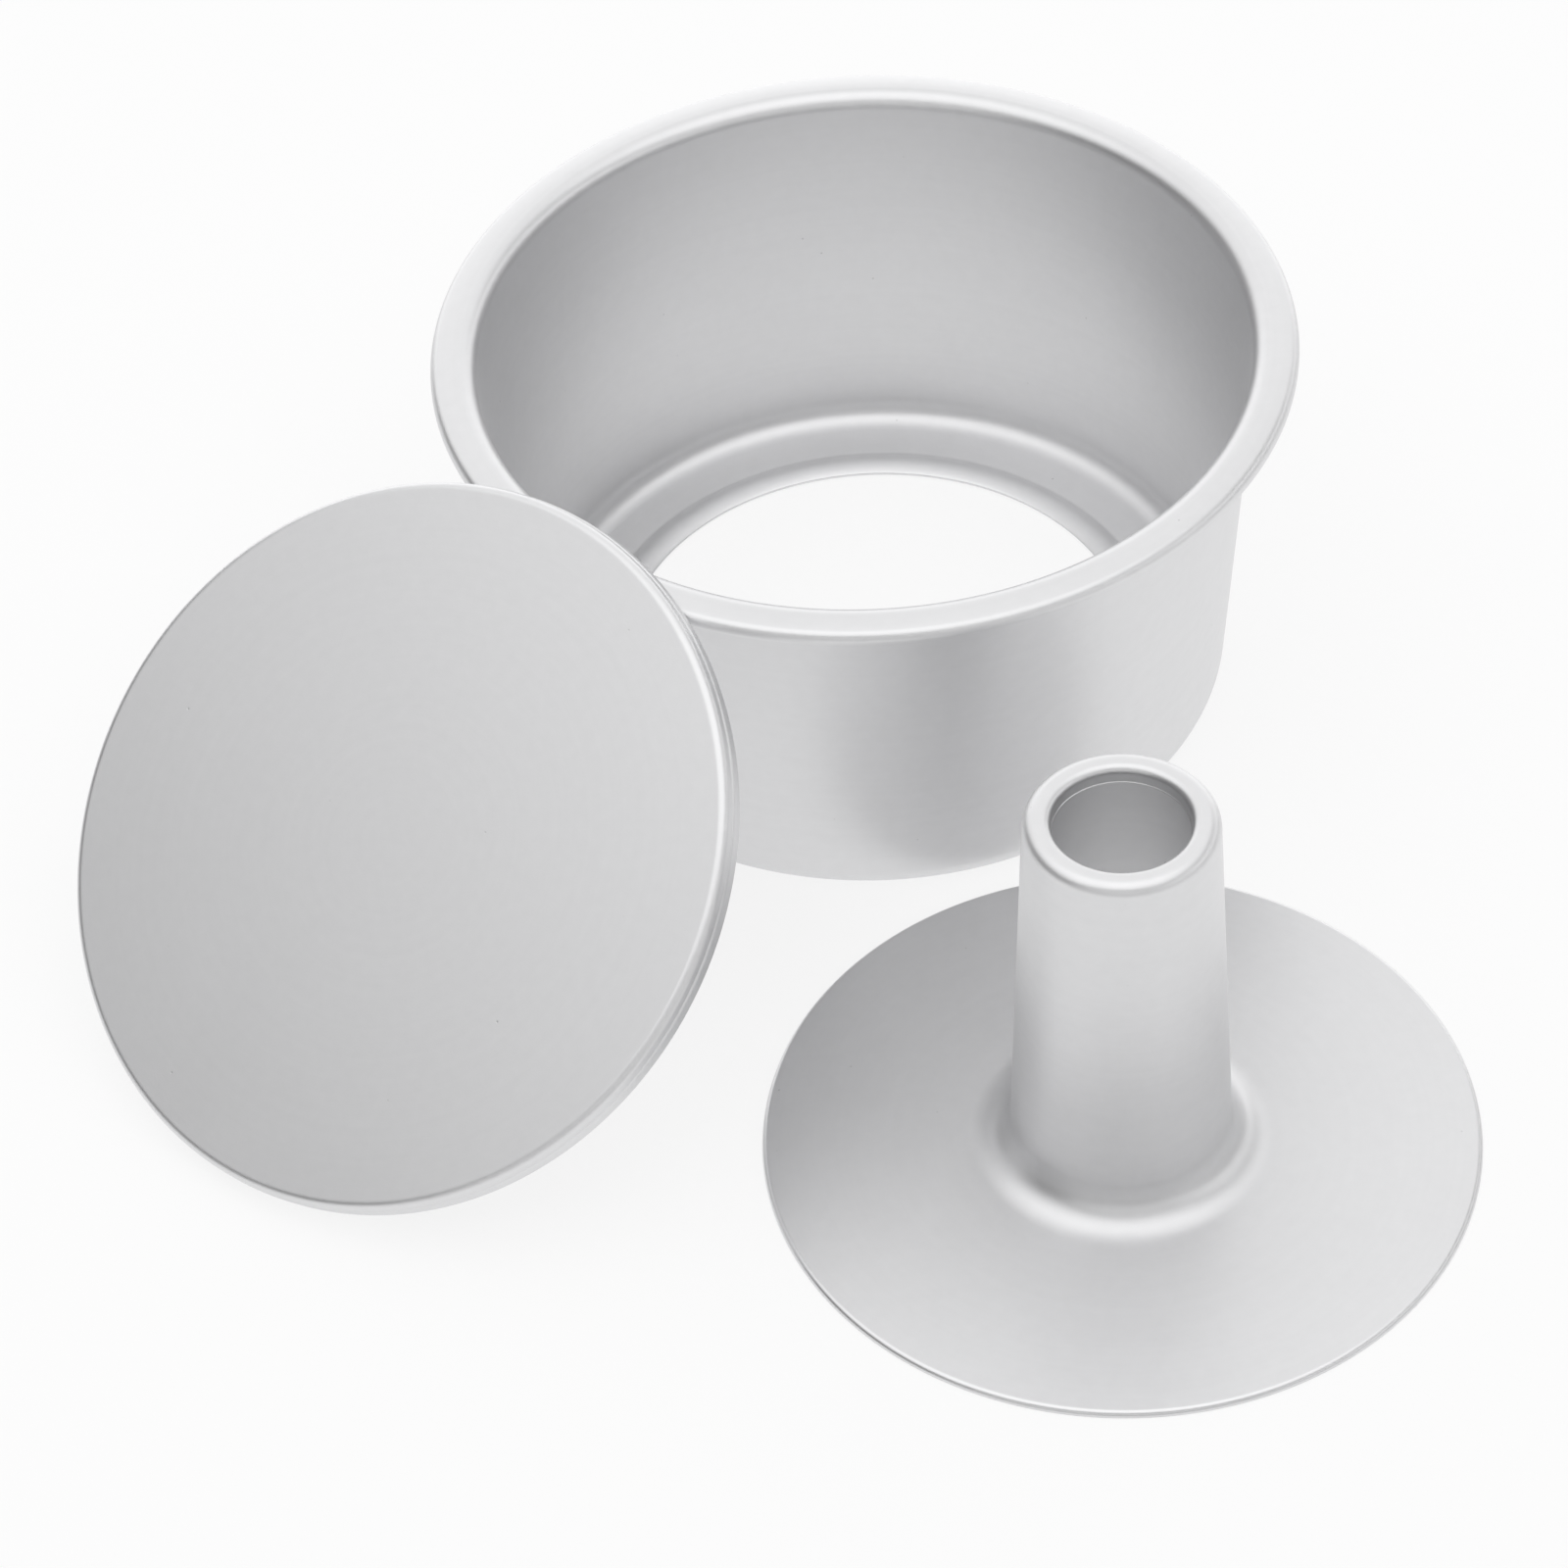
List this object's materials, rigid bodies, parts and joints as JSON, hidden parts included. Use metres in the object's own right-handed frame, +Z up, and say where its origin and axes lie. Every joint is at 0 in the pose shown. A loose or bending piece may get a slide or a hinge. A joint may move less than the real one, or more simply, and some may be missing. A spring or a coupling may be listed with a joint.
{
  "type": "loose-bottom cake pan",
  "caption": "Round flared cake pan ring with a rolled rim and open bottom, a skirted flat base leaning on it and a base with a tapered chimney.",
  "frame": {"origin": "on the surface the set stands on, under the middle of the set's box", "axes": "+Z up, along the ring's and the tube base's own axes; +Y from the tube base towards the ring"},
  "size_m": [0.2656, 0.29, 0.0896],
  "materials": {
    "anodised_aluminium": "satin, finely blasted and anodised"
  },
  "bodies": {
    "ring": {"pan_ring": "anodised_aluminium"},
    "flat_bottom": {"flat_base": "anodised_aluminium"},
    "tube_bottom": {"tube_base": "anodised_aluminium"}
  },
  "joints": [
    {"name": "flat_base_lift", "type": "slide", "parent": "ring", "child": "flat_bottom", "axis": [0, 0, 1], "range_m": [0, 0.1]},
    {"name": "tube_base_lift", "type": "slide", "parent": "ring", "child": "tube_bottom", "axis": [0.0806, -0.2636, 0.9613], "range_m": [0, 0.1]}
  ]
}
